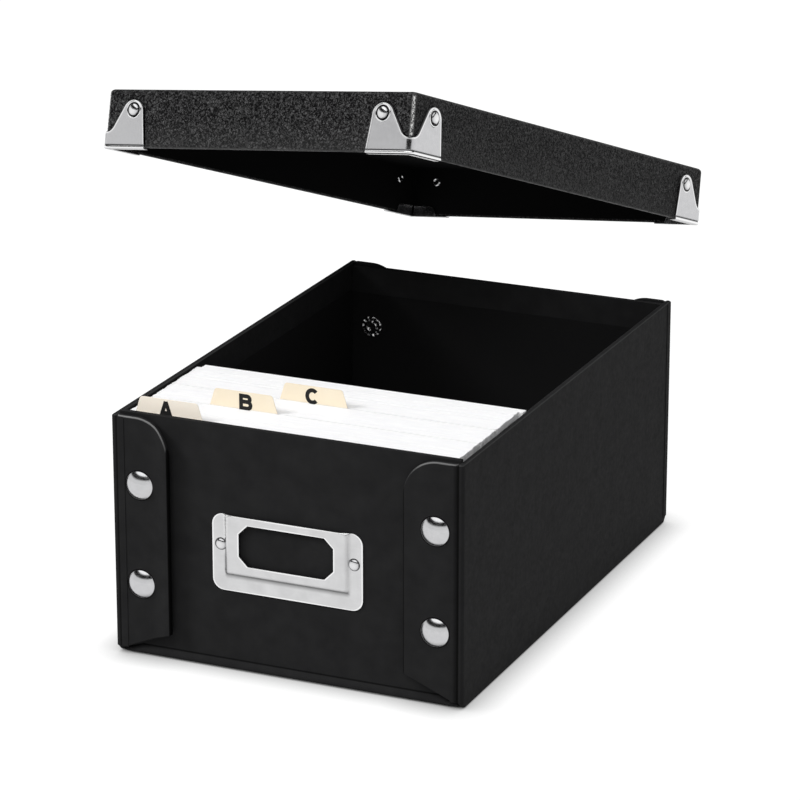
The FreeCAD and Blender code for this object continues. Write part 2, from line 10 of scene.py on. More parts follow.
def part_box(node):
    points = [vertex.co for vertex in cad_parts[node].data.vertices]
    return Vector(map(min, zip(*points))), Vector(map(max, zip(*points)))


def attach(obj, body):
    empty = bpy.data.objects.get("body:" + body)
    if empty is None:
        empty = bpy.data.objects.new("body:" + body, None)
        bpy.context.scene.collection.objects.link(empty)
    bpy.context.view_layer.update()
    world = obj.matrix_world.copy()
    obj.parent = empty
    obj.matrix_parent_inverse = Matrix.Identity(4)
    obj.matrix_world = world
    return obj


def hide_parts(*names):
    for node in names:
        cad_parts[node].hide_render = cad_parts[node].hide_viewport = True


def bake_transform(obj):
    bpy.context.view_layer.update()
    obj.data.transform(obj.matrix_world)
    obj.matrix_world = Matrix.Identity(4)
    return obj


# An index card drawer of black covered board, with its tray lid held above it. Sizes are in
# millimetres, and MM turns them into the scene's metres.

MM = 0.001

# An edge sharper than this isn't shaded smooth, and one sharper than that may be rounded off.
SHARP_ANGLE = radians(50)
BEVEL_ANGLE = radians(35)

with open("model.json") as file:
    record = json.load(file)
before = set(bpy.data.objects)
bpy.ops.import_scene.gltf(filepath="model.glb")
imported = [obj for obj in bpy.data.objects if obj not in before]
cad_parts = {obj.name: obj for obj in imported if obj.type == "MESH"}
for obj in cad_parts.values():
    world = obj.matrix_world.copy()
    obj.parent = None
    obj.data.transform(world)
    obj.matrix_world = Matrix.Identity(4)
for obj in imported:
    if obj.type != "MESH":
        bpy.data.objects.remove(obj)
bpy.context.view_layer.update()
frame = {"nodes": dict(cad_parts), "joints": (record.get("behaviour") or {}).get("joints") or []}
scene = bpy.context.scene
joints = {joint["name"]: joint for joint in frame["joints"]}


# ---- forms: vertices and faces


class Form:
    """Vertices, faces, and a mark for each vertex: below nought is painted shade, above nought is a
    painted highlight, and on the lid's covering high marks are scuffs.
    """

    def __init__(self, vertices=(), faces=(), marks=()):
        self.vertices = [Vector(v) for v in vertices]
        self.faces = list(faces)
        self.marks = list(marks) or [0] * len(self.vertices)

    def add(self, other):
        start = len(self.vertices)
        self.vertices += other.vertices
        self.faces += [tuple(start + i for i in face) for face in other.faces]
        self.marks += other.marks

    def moved(self, matrix):
        return Form([matrix @ v for v in self.vertices], self.faces, self.marks)


def joined(forms):
    whole = Form()
    for form in forms:
        whole.add(form)
    return whole


def loft(loops, closed=True, cap_first=False, cap_last=False, marks=()):
    """Skins a row of loops that have the same number of points. There may be a mark for each point."""
    count = len(loops[0])
    vertices = [point for loop in loops for point in loop]
    faces = []
    for row in range(len(loops) - 1):
        for i in range(count if closed else count - 1):
            j = (i + 1) % count
            here, there = row * count, (row + 1) * count
            faces.append((here + i, here + j, there + j, there + i))
    if cap_first:
        faces.append(tuple(reversed(range(count))))
    if cap_last:
        last = (len(loops) - 1) * count
        faces.append(tuple(range(last, last + count)))
    return Form(vertices, faces, [mark for row in marks for mark in row])


def capped(rows, cap_first=True):
    """Skins loops of (point, mark) pairs, and closes the last loop and mostly the first."""
    loops = [[point for point, _ in row] for row in rows]
    marks = [[mark for _, mark in row] for row in rows]
    return loft(loops, cap_first=cap_first, cap_last=True, marks=marks)


def slab(outer, inner, closed=False, marks=()):
    """A sheet with two sides, each a grid of rows of points. A closed one joins each row's ends."""
    rows, count = len(outer), len(outer[0])
    form = loft(outer, closed, marks=marks)
    form.add(loft(inner, closed))
    back = rows * count
    edges = [list(range(count)), list(range(back - count, back))]
    if closed:
        edges = [edge + edge[:1] for edge in edges]
    else:
        edges += [list(range(0, back, count)), list(range(count - 1, back, count))]
    for edge in edges:
        form.faces += [(a, b, back + b, back + a) for a, b in zip(edge, edge[1:])]
    return form


LATHE_TIP = 0.001


def lathe(profile, steps=48, wave=None):
    """Turns (radius, height) points about +Z. A third number is the point's mark.

    wave(angle, radius) shifts a height. A point on the axis becomes a tiny circle.
    """
    rows = []
    for radius, height, *mark in profile:
        row = []
        for i in range(steps):
            angle = 2 * pi * i / steps
            lift = wave(angle, radius) if wave else 0
            width = max(radius, LATHE_TIP)
            point = (width * cos(angle), width * sin(angle), height + lift)
            row.append((Vector(point) * MM, mark[0] if mark else 0))
        rows.append(row)
    return capped(rows)


def turned_ring(profile, steps=48):
    """Turns a closed profile that doesn't reach the axis about +Z."""
    loops = []
    for i in range(steps + 1):
        angle = 2 * pi * i / steps
        across, along = cos(angle), sin(angle)
        loops.append([Vector((r * across, r * along, height)) * MM for r, height in profile])
    return loft(loops)


def block(low, high):
    """A plain box between two corners."""
    wide, deep, tall = zip(low, high)
    corners = [(x, y, z) for z in tall for y in deep for x in wide]
    faces = [(0, 2, 3, 1), (4, 5, 7, 6), (0, 1, 5, 4), (2, 6, 7, 3), (0, 4, 6, 2), (1, 3, 7, 5)]
    return Form(corners, faces)


def arc(middle, radius, first, last, steps):
    """Points of an arc in a plane, between two angles in degrees."""
    angles = [radians(first + (last - first) * i / steps) for i in range(steps + 1)]
    return [Vector(middle) + Vector((cos(a), sin(a))) * radius for a in angles]


def rounded_rectangle(low, high, radius, steps=6):
    """The points of a rectangle with round corners, anticlockwise from its lower right corner.

    With one step to a corner, the corners are cut off straight.
    """
    left, right = low[0] + radius, high[0] - radius
    bottom, top = low[1] + radius, high[1] - radius
    points = []
    for turn, middle in enumerate(((right, bottom), (right, top), (left, top), (left, bottom))):
        points += arc(middle, radius, 90 * (turn - 1), 90 * turn, steps)
    return points


def quarter_round(steps):
    """A rounded edge's points, from its side to its top.

    Each is the angle turned, and how far in and how far down it is, in shares of the radius.
    """
    angles = [pi / 2 * i / steps for i in range(steps + 1)]
    return [(angle, 1 - cos(angle), 1 - sin(angle)) for angle in angles]


def left_of(points):
    """The direction to the left at each point of a line in a plane."""
    ends = [points[0], *points, points[-1]]
    alongs = [(after - before).normalized() for before, after in zip(ends, ends[2:])]
    return [Vector((-along.y, along.x)) for along in alongs]


def smooth_step(value):
    value = min(max(value, 0), 1)
    return value * value * (3 - 2 * value)


# ---- pieces


def make_piece(name, form, material, body, replaced=()):
    mesh = bpy.data.meshes.new(name)
    mesh.from_pydata(form.vertices, [], form.faces)
    mesh.validate()
    work = bmesh.new()
    work.from_mesh(mesh)
    bmesh.ops.recalc_face_normals(work, faces=work.faces)
    work.to_mesh(mesh)
    work.free()
    mesh.shade_smooth()
    mesh.set_sharp_from_angle(angle=SHARP_ANGLE)
    mesh.materials.append(material)
    if any(form.marks):
        mesh.attributes.new("mark", "FLOAT", "POINT").data.foreach_set("value", form.marks)
    piece = bpy.data.objects.new(name, mesh)
    scene.collection.objects.link(piece)
    if body:
        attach(piece, body)
    if replaced:
        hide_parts(*replaced)
    return piece


def soften(piece, width, segments=3, edge=None):
    """Rounds the piece's sharp edges, and may give them a material of their own."""
    bevel = piece.modifiers.new("soft_edges", "BEVEL")
    bevel.width = width * MM
    bevel.segments = segments
    bevel.limit_method = "ANGLE"
    bevel.angle_limit = BEVEL_ANGLE
    bevel.harden_normals = True
    if edge:
        piece.data.materials.append(edge)
        bevel.material = 1


def even_normals(piece):
    piece.modifiers.new("even_normals", "WEIGHTED_NORMAL").keep_sharp = True


def paint_node(name, material):
    """Gives a CAD node its material."""
    node = frame["nodes"][name]
    node.data.materials.clear()
    node.data.materials.append(material)
    return node


# ---- materials


class Nodes:
    """The node tree of a material or the world, built from nothing."""

    def __init__(self, owner):
        owner.use_nodes = True
        self.tree = owner.node_tree
        self.tree.nodes.clear()

    def add(self, kind, *values, **named):
        """Adds a node. Values feed its sockets in order, and names are its sockets or settings."""
        node = self.tree.nodes.new(f"ShaderNode{kind}")
        for key, value in named.items():
            if key in node.inputs:
                self.feed(node.inputs[key], value)
            else:
                setattr(node, key, value)
        for socket, value in zip(node.inputs, values):
            self.feed(socket, value)
        return node

    def feed(self, socket, value):
        """Links or sets a socket. A node feeds its first output, and one number can be a grey."""
        if isinstance(value, bpy.types.Node):
            value = value.outputs[0]
        if isinstance(value, bpy.types.NodeSocket):
            self.tree.links.new(value, socket)
        elif socket.type == "RGBA":
            color = value if isinstance(value, tuple) else (value, value, value)
            socket.default_value = (*color, 1)
        elif value is not None:
            socket.default_value = value

    def math(self, operation, first, second):
        return self.add("Math", first, second, operation=operation)

    def ray_is(self, *kinds):
        """One where a ray is of any of these kinds, and nought elsewhere."""
        path = self.add("LightPath")
        value = path.outputs[kinds[0]]
        for kind in kinds[1:]:
            value = self.math("MAXIMUM", value, path.outputs[kind])
        return value


class Shader(Nodes):
    """A material, whose nodes end in a Principled shader. Its sizes and depths are in millimetres."""

    def __init__(self, name):
        self.material = bpy.data.materials.new(name)
        super().__init__(self.material)
        self.coordinates = self.add("TexCoord").outputs["Object"]

    def stretched(self, x, y, z):
        return self.add("Mapping", self.coordinates, Scale=(x, y, z))

    def noise(self, size, detail=3, roughness=0.55, distortion=0, where=None):
        """Noise whose features are about that size. Distortion pulls it into short curved ridges."""
        place = where or self.coordinates
        look = {"Detail": detail, "Roughness": roughness, "Distortion": distortion}
        return self.add("TexNoise", place, Scale=1 / (size * MM), **look).outputs["Fac"]

    def cells(self, size):
        look = {"Scale": 1 / (size * MM), "feature": "DISTANCE_TO_EDGE"}
        return self.add("TexVoronoi", self.coordinates, **look).outputs["Distance"]

    def spread(self, value, low, high, out_low=0, out_high=1):
        return self.add("MapRange", value, low, high, out_low, out_high)

    def mix_colors(self, factor, first, second):
        node = self.add("Mix", factor, data_type="RGBA")
        ends = [socket for socket in node.inputs if socket.type == "RGBA"]
        for socket, value in zip(ends, (first, second)):
            self.feed(socket, value)
        return next(socket for socket in node.outputs if socket.type == "RGBA")

    def bump(self, height, depth, strength=1, under=None):
        """Bumps of that depth, on top of any bumps under them."""
        return self.add("Bump", strength, depth * MM, Height=height, Normal=under)

    def marked(self, low, high):
        """How far the surface's marks lie between two values, from nought to one."""
        mark = self.add("Attribute", attribute_name="mark").outputs["Fac"]
        return self.spread(mark, low, high)

    def wear_and_painted_light(self, color, polished, shade_color):
        """Brightens a colour where the marks are above nought, a painted highlight, and darkens it
        where they are below nought, painted shade.
        """
        color = self.mix_colors(self.marked(0, 1), color, polished)
        return self.mix_colors(self.marked(0, -1), color, shade_color)

    def finish(self, color, roughness, bumps=None, metallic=0, specular=0.5):
        shine = {"Specular IOR Level": specular}
        end = self.add("BsdfPrincipled", color, metallic, roughness, Normal=bumps, **shine)
        self.add("OutputMaterial", end)
        return self.material


def box_leatherette():
    shader = Shader("box_leatherette")
    blotches = shader.spread(shader.noise(9, detail=4), 0.3, 0.7)
    color = shader.mix_colors(blotches, (0.0158, 0.0158, 0.0163), (0.0206, 0.0206, 0.0211))
    bumps = shader.bump(shader.cells(0.55), 0.05, 0.5)
    bumps = shader.bump(shader.noise(0.28, detail=4), 0.05, 0.5, under=bumps)
    roughness = shader.spread(shader.noise(2.2), 0.3, 0.7, 0.5, 0.64)
    # Its marks are painted highlights along top edges and painted shade in the creases and folds.
    return shader.finish(shader.wear_and_painted_light(color, 0.2, 0.003), roughness, bumps, specular=0.015)


def edge_highlight_leatherette():
    """The covering where it bends round the edge of a board, paler in patches: a painted highlight
    along the edge.
    """
    shader = Shader("edge_highlight_leatherette")
    highlight_patches = shader.spread(shader.noise(1.6, detail=4), 0.4, 0.65)
    color = shader.mix_colors(highlight_patches, (0.014, 0.014, 0.0145), (0.05, 0.05, 0.051))
    bumps = shader.bump(shader.noise(0.3, detail=4), 0.04, 0.4)
    return shader.finish(color, 0.35, bumps, specular=0.35)


def lid_leatherette():
    """Pebbled covering, with paler pebble tops: a painted highlight on the grain. Marks up to 0.3 are
    a pale line, and higher ones scuffs.
    """
    shader = Shader("lid_leatherette")
    ridges = shader.noise(1, detail=1.5, roughness=0.5, distortion=1.1)
    pebbles = shader.spread(ridges, 0.43, 0.66)
    small = shader.noise(0.7, detail=2.5, roughness=0.6)
    bumps = shader.bump(pebbles, 0.36)
    bumps = shader.bump(small, 0.14, 0.8, under=bumps)
    pebble_sheen = shader.math("MULTIPLY", shader.spread(small, 0.3, 0.6, 0.15, 1), pebbles)
    color = shader.mix_colors(pebble_sheen, (0.0045, 0.0045, 0.0047), (0.105, 0.105, 0.106))
    color = shader.mix_colors(shader.marked(0, 0.3), color, 0.085)
    specks = shader.spread(shader.noise(0.8, detail=2), 0.44, 0.53)
    scuffed = shader.math("MULTIPLY", shader.marked(0.35, 0.85), specks)
    color = shader.mix_colors(scuffed, color, (0.8, 0.8, 0.79))
    roughness = shader.spread(shader.noise(3), 0.3, 0.7, 0.28, 0.42)
    return shader.finish(color, roughness, bumps, specular=0.03)


def lining_paper(name, dark, light):
    shader = Shader(name)
    fibres = shader.noise(0.5, detail=5, where=shader.stretched(1, 0.4, 1))
    color = shader.mix_colors(fibres, dark, light)
    return shader.finish(color, 0.8, shader.bump(fibres, 0.04, 0.4), specular=0.02)


def bright_steel():
    shader = Shader("bright_steel")
    cloud = shader.noise(2.5, detail=4)
    scratches = shader.noise(0.5, detail=2, where=shader.stretched(0.15, 1, 1))
    color = shader.mix_colors(cloud, (0.48, 0.48, 0.49), (0.62, 0.62, 0.63))
    roughness = shader.spread(cloud, 0.3, 0.7, 0.13, 0.22)
    bumps = shader.bump(scratches, 0.006, 0.3)
    # Its marks paint highlights and shade on the snaps, rivets and corner brackets.
    return shader.finish(shader.wear_and_painted_light(color, 0.98, 0.004), roughness, bumps, metallic=1)


def satin_steel():
    shader = Shader("satin_steel")
    brushed = shader.noise(0.35, where=shader.stretched(0.06, 1, 1))
    color = shader.mix_colors(shader.noise(7), (0.54, 0.54, 0.545), (0.73, 0.73, 0.735))
    roughness = shader.spread(brushed, 0.3, 0.7, 0.28, 0.4)
    bumps = shader.bump(brushed, 0.01, 0.35)
    # Its marks paint highlights and shade on the label holder.
    return shader.finish(shader.wear_and_painted_light(color, 0.98, 0.004), roughness, bumps, metallic=1)


def card_stock():
    shader = Shader("card_stock")
    streaks = shader.noise(1.2, where=shader.stretched(0.12, 1, 0.3))
    streaks = shader.spread(streaks, 0.35, 0.65)
    color = shader.mix_colors(streaks, (0.92, 0.92, 0.935), 0.965)
    return shader.finish(color, 0.75, shader.bump(shader.noise(0.4), 0.02, 0.3), specular=0.04)


# Above this height a divider is coloured, over a soft edge.
TAB_COLOR_FROM = 107.6
TAB_COLOR_EDGE = 0.4


def tab_stock(name, base, warm):
    """Coloured tabs on plain white stock."""
    shader = Shader(name)
    fibres = shader.noise(0.35, detail=4, where=shader.stretched(1, 1, 0.35))
    height = shader.add("SeparateXYZ", shader.coordinates).outputs["Z"]
    toned = shader.spread(height, (TAB_COLOR_FROM - TAB_COLOR_EDGE) * MM, TAB_COLOR_FROM * MM)
    tint = shader.mix_colors(shader.noise(6, detail=4), base, warm)
    color = shader.mix_colors(toned, (0.95, 0.95, 0.945), tint)
    return shader.finish(color, 0.7, shader.bump(fibres, 0.03, 0.35), specular=0.1)


def ink():
    shader = Shader("ink")
    color = shader.mix_colors(shader.noise(0.3, detail=2), 0.004, 0.012)
    return shader.finish(color, 0.6, specular=0.3)


LEATHERETTE = box_leatherette()
PEBBLED = lid_leatherette()
LINING = lining_paper("box_lining", (0.0095, 0.0095, 0.0098), (0.015, 0.015, 0.0154))
# The lid's lining is the same paper as the box's, darker: painted shade inside the lid.
SHADED_LID_LINING = lining_paper("lid_lining", (0.005, 0.005, 0.0052), (0.0085, 0.0085, 0.0088))
BRIGHT = bright_steel()
EDGE_HIGHLIGHT = edge_highlight_leatherette()
SATIN = satin_steel()
CARD = card_stock()
PINK_TAB = tab_stock("pink_tab_stock", (0.975, 0.88, 0.75), (0.98, 0.92, 0.82))
YELLOW_TAB = tab_stock("yellow_tab_stock", (0.9, 0.785, 0.6), (0.92, 0.83, 0.67))
INK = ink()


# ---- where things are

CORNERS = [(end, side) for end in ("front", "back") for side in ("left", "right")]
OUTWARD = {"front": Vector((0, -1, 0)), "back": Vector((0, 1, 0))}
SIDEWAYS = {"left": -1, "right": 1}


def box_mm(node):
    """A node's lowest and highest corners at rest, in millimetres."""
    return [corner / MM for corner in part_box(node)]


def faces_of(node, end):
    """Where a node of the front or the back ends along Y: its outer side and its inner side."""
    low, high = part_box(node)
    return (low.y, high.y) if end == "front" else (high.y, low.y)


def facing(place, direction):
    """The matrix that puts a form's base at a place, with its +Z along a direction."""
    turn = Vector((0, 0, 1)).rotation_difference(Vector(direction)).to_matrix().to_4x4()
    return Matrix.Translation(place) @ turn


def swing(joint, angle):
    """The movement of a hinge's child when the joint turns by that angle."""
    pivot = Vector(joint["pos_m"])
    turn = Matrix.Rotation(angle, 4, Vector(joint["axis"]))
    return Matrix.Translation(pivot) @ turn @ Matrix.Translation(-pivot)


LID_SWING = joints["lid_swing"]
LEVEL_TO_REST = swing(LID_SWING, -radians(LID_SWING["range_deg"][0]))
REST_TO_LEVEL = LEVEL_TO_REST.inverted()


def level_box(node):
    """The corners, in millimetres, of a lid node while the lid is level over the box."""
    points = [REST_TO_LEVEL @ v.co / MM for v in frame["nodes"][node].data.vertices]
    return [Vector(pick(p[i] for p in points) for i in range(3)) for pick in (min, max)]


def stacked_pair(node):
    """The middles of two equal round pieces, one above the other."""
    low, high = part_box(node)
    radius = (high.x - low.x) / 2
    x = (low.x + high.x) / 2
    return [(x, low.z + radius), (x, high.z - radius)]


# ---- the boards of the box

# The front and back boards' rounded edges get the paler covering, a painted highlight.
for board in ("front_panel", "back_panel"):
    soften(paint_node(board, LEATHERETTE), 0.45, edge=EDGE_HIGHLIGHT)
for board in ("bottom_panel", "floor_board"):
    soften(paint_node(board, LINING), 0.3)

SIDE_FOOT_CUT = 2.8
SIDE_FOOT_EDGE = 0.3
SIDE_TOP_ROUND = 0.5
SIDE_TOP_SHINE = 0.16


def make_side_panel(side):
    """A side wall's covered board. Its ends are round, and cut away a little at the foot."""
    node = f"{side}_side_panel"
    low, high = box_mm(node)
    end_round = (high.x - low.x) / 2 - 0.02
    # How far the ends and the faces are drawn in, the height, and the mark, which is a painted
    # highlight along the rounded top.
    sections = [
        (SIDE_FOOT_CUT + SIDE_FOOT_EDGE, 0.25, low.z, 0),
        (SIDE_FOOT_CUT - SIDE_FOOT_EDGE, 0, low.z + SIDE_FOOT_EDGE, 0),
        (0.4, 0, low.z + SIDE_FOOT_CUT - SIDE_FOOT_EDGE, 0),
        (0, 0, low.z + SIDE_FOOT_CUT + SIDE_FOOT_EDGE, 0),
    ]
    for turn, inward, down in quarter_round(5):
        inset = SIDE_TOP_ROUND * inward
        shine = SIDE_TOP_SHINE * sin(2 * turn)
        sections.append((inset, inset, high.z - SIDE_TOP_ROUND * down, shine))
    rows = []
    for end_inset, face_inset, z, mark in sections:
        first = (low.x + face_inset, low.y + end_inset)
        last = (high.x - face_inset, high.y - end_inset)
        points = rounded_rectangle(first, last, end_round - face_inset)
        rows.append([(Vector((x, y, z)) * MM, mark) for x, y in points])
    form = capped(rows)
    even_normals(make_piece(f"{node}_covered", form, LEATHERETTE, "box", [node]))


for side in SIDEWAYS:
    make_side_panel(side)

LINING_THICKNESS = 0.15
LINING_SHORT = 3
TURN_IN = 13


def make_wall_linings():
    """Black paper inside the walls, below the strip of covering that turns in over their tops.

    At the sides it stops short of the round ends.
    """
    floor_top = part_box("floor_board")[1].z
    side_low, side_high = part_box("left_side_panel")
    left, right = side_high.x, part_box("right_side_panel")[0].x
    front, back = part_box("front_panel")[1].y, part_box("back_panel")[0].y
    side_front, side_back = side_low.y + LINING_SHORT * MM, side_high.y - LINING_SHORT * MM
    inset = LINING_THICKNESS * MM
    walls = (
        ("left", "side_panel", (left, side_front), (left + inset, side_back)),
        ("right", "side_panel", (right - inset, side_front), (right, side_back)),
        ("front", "panel", (left + inset, front), (right - inset, front + inset)),
        ("back", "panel", (left + inset, back - inset), (right - inset, back)),
    )
    for name, board, low, high in walls:
        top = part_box(f"{name}_{board}")[1].z - TURN_IN * MM
        sheet = block((*low, floor_top), (*high, top))
        make_piece(f"{name}_lining", sheet, LINING, "box")


make_wall_linings()


# ---- creases, folds and flaps

# A crease's covering in plan, from the hinge's axis: inward along the flap, and outward from the box.
SIDE_COVERED = 3.6
FLAP_COVERED = 4.4
COVER_STANDOFF = 0.05
COVER_THICKNESS = 0.2
COVER_FOOT = 0.9
COVER_TOP = 0.5
COVER_END = 0.6
BOARD_HALF = 1.2

# How the covering dips into the gap: (inward along the flap, depth, mark). The marks are painted shade
# in the gap.
WIDE_DIP = (
    (0.45, 0.14, -0.3), (0.8, 0.42, -0.8), (1.3, 0.6, -1),
    (1.9, 0.55, -0.6), (2.4, 0.3, -0.3), (2.9, 0.08, -0.1),
)
NARROW_DIP = (
    (0.4, 0.08, 0), (0.65, 0.2, -0.5), (0.9, 0.24, -0.8),
    (1.15, 0.2, -0.6), (1.5, 0.05, 0), (2, 0, 0),
)


def crease_path(offset, wide):
    """Round the side panel's end, across the gap beside it, and up onto the flap, with marks of
    painted shade.
    """
    board = BOARD_HALF + offset
    path = [(-board, -SIDE_COVERED, 0), (-board, -1.5, 0)]
    # On the wide crease, painted shade over the last turns round the board's end.
    shade = -0.08 if wide else 0
    turns = arc((0, 0), board, 180, 84, 10)
    path += [(x, y, shade if i > 4 else 0) for i, (x, y) in enumerate(turns)]
    dips = WIDE_DIP if wide else NARROW_DIP
    path += [(along, board - dip, mark) for along, dip, mark in dips]
    return path + [(3.5, board, 0), (FLAP_COVERED, board, 0)]


def make_crease_cover(end, side):
    """The strip of covering over a flap's crease. The crease is wide on the right side."""
    flap = f"{end}_{side}_flap"
    pivot = Vector(joints[f"{flap}_fold"]["pos_m"])
    inward, out = Vector((-SIDEWAYS[side], 0, 0)), OUTWARD[end]
    wide = side == "right"
    flap_low, flap_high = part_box(flap)
    bottom = flap_low.z + COVER_FOOT * MM
    top = min(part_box(f"{side}_side_panel")[1].z, flap_high.z) - COVER_TOP * MM
    levels = [bottom, bottom + COVER_END * MM, top - COVER_END * MM, top]

    def rows(offset):
        path = crease_path(offset, wide)
        plan = [pivot + inward * u * MM + out * w * MM for u, w, _ in path]
        return [[place + Vector((0, 0, z)) for place in plan] for z in levels]

    marks = [[mark for _, _, mark in crease_path(0, wide)] for _ in levels]
    sheet = slab(rows(COVER_STANDOFF + COVER_THICKNESS), rows(COVER_STANDOFF), marks=marks)
    name = f"{end}_{side}_crease_cover"
    cover = make_piece(name, sheet, LEATHERETTE, None)
    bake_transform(cover)


def face_edges(node, out):
    """The edges of the outer face of a CAD board, as pairs of points in millimetres."""
    mesh = frame["nodes"][node].data
    level = max(v.co.dot(out) for v in mesh.vertices)
    places = {v.index: v.co / MM for v in mesh.vertices if level - v.co.dot(out) < 1e-6}
    pairs = [tuple(edge.vertices) for edge in mesh.edges]
    return [(places[a], places[b]) for a, b in pairs if a in places and b in places]


def heights_at(edges, x):
    """The lowest and highest places where a face's edges cross an upright line."""
    crossings = []
    for a, b in edges:
        if a.x != b.x and min(a.x, b.x) <= x <= max(a.x, b.x):
            crossings.append(a.z + (b.z - a.z) * (x - a.x) / (b.x - a.x))
    return min(crossings), max(crossings)


FLAP_EDGE = 0.75
FLAP_CREASE_EDGE = {"left": 0.6, "right": 1.7}
FLAP_LIFT = {"left": 2.2, "right": 0.25}
# The painted highlight on a flap's rounded top edge: its strength, and how fast it fades where the top
# slopes.
FLAP_HIGHLIGHT = {"left": 1, "right": 0.8}
FLAP_HIGHLIGHT_FADE = {"left": 1, "right": 5}
FLAP_HELD = 14.5
FLAP_STATIONS = 44
FLAP_SLOPE_STEP = 0.04


def make_flap(end, side):
    """The flap's covered board, cut across from its crease to its free edge, which lifts a little.

    The snaps hold it down as far as FLAP_HELD. Its rounded edge has a painted highlight on top, which
    fades where the top slopes. The cut edge of its free end is painted dark, a painted shadow.
    """
    node = f"{end}_{side}_flap"
    out = OUTWARD[end]
    edges = face_edges(node, out)
    low, high = box_mm(node)
    face = faces_of(node, end)[0] * out.y / MM
    thickness = high.y - low.y
    creased, free = (low.x, high.x) if side == "left" else (high.x, low.x)
    width, aside = abs(free - creased), -SIDEWAYS[side]
    rows = []
    for i in range(FLAP_STATIONS + 1):
        across = width * sin(pi / 2 * i / FLAP_STATIONS)
        across = min(max(across, 0.01), width - 0.01)
        before = min(across, width - 0.01 - FLAP_SLOPE_STEP)
        bottom, top = heights_at(edges, creased + aside * across)
        fall = heights_at(edges, creased + aside * before)[1]
        fall -= heights_at(edges, creased + aside * (before + FLAP_SLOPE_STEP))[1]
        upright = 1 / hypot(1, fall / FLAP_SLOPE_STEP)
        lift = FLAP_LIFT[side] * smooth_step((across - FLAP_HELD) / (width - FLAP_HELD)) ** 1.5
        lowered = 0
        for edge, distance in ((FLAP_CREASE_EDGE[side], across), (FLAP_EDGE, width - across)):
            if distance < edge:
                lowered = edge - sqrt(edge**2 - (edge - distance) ** 2)
        outer, inner = face + lift - lowered, face + lift - thickness
        # The cut side of the free edge is painted dark: a painted shadow under the lifted edge.
        toned = -smooth_step((across - width + FLAP_EDGE) / FLAP_EDGE / 0.6)
        # Height, distance outward, and mark.
        section = [(bottom + 0.3, inner, toned), (bottom, inner + 0.25, toned)]
        for _, inward, down in quarter_round(6):
            section.append((bottom + FLAP_EDGE * inward, outer - FLAP_EDGE * down, toned))
        # A painted highlight along the top of the rounded edge, fading where the top slopes.
        wear_and_painted_light = FLAP_HIGHLIGHT[side] * min(upright * 1.15, 1) ** FLAP_HIGHLIGHT_FADE[side]
        tall_edge = FLAP_EDGE / max(upright, 0.35)
        for turn, inward, down in reversed(quarter_round(6)):
            shine = wear_and_painted_light * sin(2 * turn)
            section.append((top - tall_edge * inward, outer - FLAP_EDGE * down, shine + toned))
        section += [(top, inner + 0.25, toned), (top - 0.3, inner, toned)]
        x = creased + aside * across
        rows.append([(Vector((x, out.y * depth, z)) * MM, mark) for z, depth, mark in section])
    flap = make_piece(f"{node}_covered", capped(rows), LEATHERETTE, node, [node])
    even_normals(flap)


# The fold between an end panel and the bottom: (outward from the panel, up, mark). Its marks are
# painted shade in the crease along its top and along its foot.
FOLD_SECTION = (
    (-0.4, 4.4, 0), (0.02, 4.3, -0.6), (0.15, 3.9, -0.9), (0.55, 3.5, 0),
    (1.15, 2.9, 0), (1.6, 2.1, 0), (1.75, 1.2, 0), (1.5, 0.45, 0),
    (0.9, 0.08, -0.3), (0.2, 0.04, 0), (-0.4, 0.04, 0),
)
FOLD_TAPER = 9
FOLD_SHORT = 2.6
FOLD_STOPS = 36


def make_bottom_fold(end):
    """The covering bulges where an end panel is hinged on the bottom. It thins out under the flaps."""
    face = faces_of(f"{end}_panel", end)[0]
    left = box_mm("left_side_panel")[0].x + FOLD_SHORT
    right = box_mm("right_side_panel")[1].x - FOLD_SHORT
    rows = []
    for i in range(FOLD_STOPS + 1):
        x = left + (right - left) * i / FOLD_STOPS
        size = 0.3 + 0.7 * smooth_step(min(x - left, right - x) / FOLD_TAPER)
        row = []
        for outward, up, mark in FOLD_SECTION:
            depth = outward * MM * min(1, size * 1.6)
            row.append((Vector((x * MM, face, up * size * MM)) + OUTWARD[end] * depth, mark))
        rows.append(row)
    form = capped(rows)
    make_piece(f"{end}_bottom_fold", form, LEATHERETTE, "box")


for end in OUTWARD:
    make_bottom_fold(end)
for end, side in CORNERS:
    make_crease_cover(end, side)
    make_flap(end, side)


# ---- snaps

CAP_RADIUS = 6.2
CAP_RISE = 2.5
CAP_SPHERE = (CAP_RADIUS**2 + CAP_RISE**2) / (2 * CAP_RISE)
CAP_STEPS = 12


def cap_profile():
    """A shallow dome with a dark line round its foot: a painted shadow."""
    profile = []
    for i in range(CAP_STEPS + 1):
        radius = CAP_RADIUS * i / CAP_STEPS
        height = CAP_RISE - CAP_SPHERE + sqrt(CAP_SPHERE**2 - radius**2) + 0.2
        profile.append((radius, height, 0))
    foot = [(0.1, 0.1, -0.8), (0.25, 0.05, -1), (0.62, 0.04, -1), (0.65, 0, -1)]
    return profile + [(CAP_RADIUS + past, height, mark) for past, height, mark in foot]


SOCKET_PROFILE = (
    (4.6, 0.05), (5.15, 0.05), (5.2, 0.3), (5.2, 2.3), (3.2, 2.35), (3.05, 2),
    (3.05, 0.7), (3.2, 0.3), (3.55, 0.1), (3.9, 0.25), (4.3, 0.25),
)
STUD_PROFILE = (
    (0, 0), (4.5, 0), (4.5, 0.42), (4.3, 0.58), (2.9, 0.6), (2.35, 0.75), (2.1, 1.15),
    (2.38, 1.75), (2.3, 2.25), (1.9, 2.55), (0.9, 2.58), (0.7, 2.25), (0, 2.1),
)
